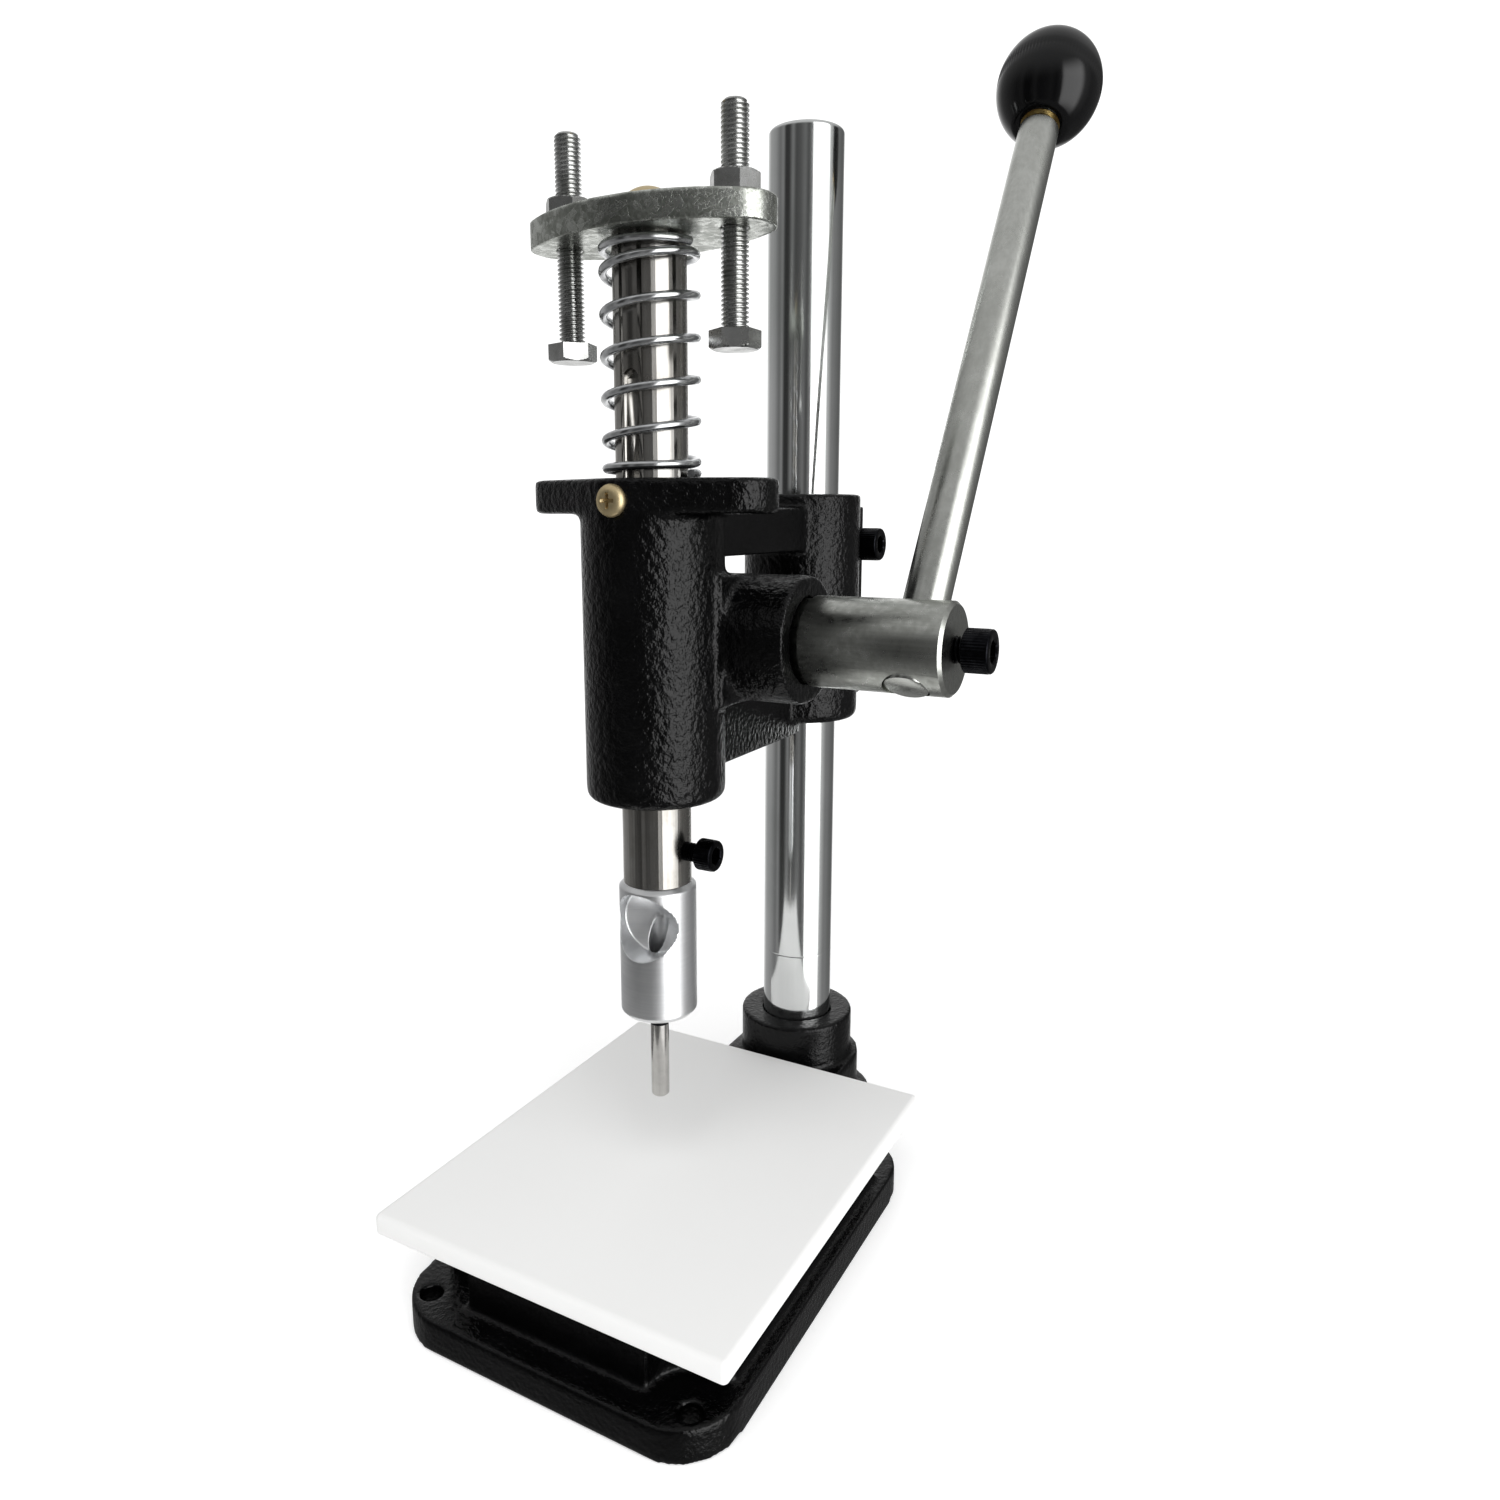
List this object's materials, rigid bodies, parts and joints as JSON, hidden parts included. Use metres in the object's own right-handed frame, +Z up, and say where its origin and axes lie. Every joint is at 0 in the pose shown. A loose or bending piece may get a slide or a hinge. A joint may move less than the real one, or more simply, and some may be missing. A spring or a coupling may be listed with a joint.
{
  "type": "manual hand press",
  "caption": "Bench hand press: lever and pinion drive a sprung ram with a hollow punch on to a white cutting board; cast head clamps on a round column.",
  "frame": {"origin": "centre of the four bench bolt holes, on the underside of the base", "axes": "+Z up along the column, -Y towards the operator, +X towards the handle"},
  "size_m": [0.1645, 0.2362, 0.4257],
  "materials": {
    "cast_black": "gloss hammered enamel over an orange-peel casting",
    "chrome_column": "polished hard chrome",
    "black_oxide": "black oxide, oiled",
    "white_board": "satin white polyethylene",
    "zinc_screw": "bright zinc plate",
    "ground_steel": "ground and polished steel",
    "yellow_zinc": "yellow zinc plate",
    "spring_wire": "bright spring wire",
    "galvanised": "galvanised, mottled",
    "zinc_rod": "satin zinc plate",
    "black_knob": "glossy moulded phenolic",
    "brass_insert": "turned brass",
    "bright_aluminium": "bright turned aluminium",
    "hardened_steel": "hardened, straw to blue temper"
  },
  "bodies": {
    "base": {"base_casting": "cast_black", "column_grub_screw": "black_oxide", "cutting_board": "white_board", "board_screws": "zinc_screw"},
    "column": {"column": "chrome_column"},
    "head": {"head_casting": "cast_black", "ram_guide_screw": "yellow_zinc", "return_spring": "spring_wire"},
    "upper_clamp": {"head_clamp_screw_upper": "black_oxide"},
    "lower_clamp": {"head_clamp_screw_lower": "black_oxide"},
    "ram": {"ram": "ground_steel", "stop_plate": "galvanised", "ram_top_screw": "yellow_zinc", "lock_nut_left": "zinc_screw", "lock_nut_right": "zinc_screw"},
    "stop_bolt_left": {"stop_bolt_left": "zinc_screw"},
    "stop_bolt_right": {"stop_bolt_right": "zinc_screw"},
    "pinion": {"pinion_shaft": "galvanised", "pinion_washer": "zinc_screw", "pinion_end_screw": "zinc_screw"},
    "hub_lock": {"hub_lock_screw": "black_oxide"},
    "handle": {"handle_rod": "zinc_rod", "handle_knob": "black_knob", "knob_insert": "brass_insert"},
    "tool": {"punch_holder": "bright_aluminium", "hollow_punch": "hardened_steel"},
    "tool_lock": {"tool_set_screw": "black_oxide"}
  },
  "joints": [
    {"name": "column_swivel", "type": "hinge", "parent": "base", "child": "column", "pos_m": [0, 0.099, 0.03], "axis": [0, 0, 1], "range_deg": [-90, 90]},
    {"name": "head_height", "type": "slide", "parent": "column", "child": "head", "axis": [0, 0, 1], "range_m": [0, 0.12]},
    {"name": "handle_turn", "type": "hinge", "parent": "head", "child": "pinion", "pos_m": [0, 0.0115, 0.216], "axis": [1, 0, 0], "range_deg": [0, 125]},
    {"name": "ram_slide", "type": "slide", "parent": "head", "child": "ram", "axis": [0, 0, -1], "range_m": [0, 0.024], "stiffness_N_per_m": 1200, "springref_m": -0.016, "deforming": ["return_spring"]},
    {"name": "stop_bolt_left_adjust", "type": "slide", "parent": "ram", "child": "stop_bolt_left", "axis": [0, 0, -1], "range_m": [-0.027, 0.01]},
    {"name": "stop_bolt_right_adjust", "type": "slide", "parent": "ram", "child": "stop_bolt_right", "axis": [0, 0, -1], "range_m": [-0.027, 0.01]},
    {"name": "handle_rod_slide", "type": "slide", "parent": "pinion", "child": "handle", "axis": [0, -0.5548, -0.832], "range_m": [-0.012, 0.05]},
    {"name": "tool_withdraw", "type": "slide", "parent": "ram", "child": "tool", "axis": [0, 0, -1], "range_m": [0, 0.02]},
    {"name": "head_clamp_upper_turn", "type": "hinge", "parent": "head", "child": "upper_clamp", "pos_m": [0.0145, 0.126, 0.242], "axis": [1, 0, 0], "range_deg": [-90, 0]},
    {"name": "head_clamp_lower_turn", "type": "hinge", "parent": "head", "child": "lower_clamp", "pos_m": [0.0145, 0.126, 0.194], "axis": [1, 0, 0], "range_deg": [-90, 0]},
    {"name": "hub_lock_turn", "type": "hinge", "parent": "pinion", "child": "hub_lock", "pos_m": [0.095, 0.0115, 0.216], "axis": [1, 0, 0], "range_deg": [-90, 0]},
    {"name": "tool_lock_turn", "type": "hinge", "parent": "ram", "child": "tool_lock", "pos_m": [0.016, -0.008, 0.149], "axis": [1, 0, 0], "range_deg": [-90, 0]}
  ],
  "couplings": [
    {"joint": "ram_slide", "follows": "handle_turn", "m_per_rad": 0.011}
  ]
}
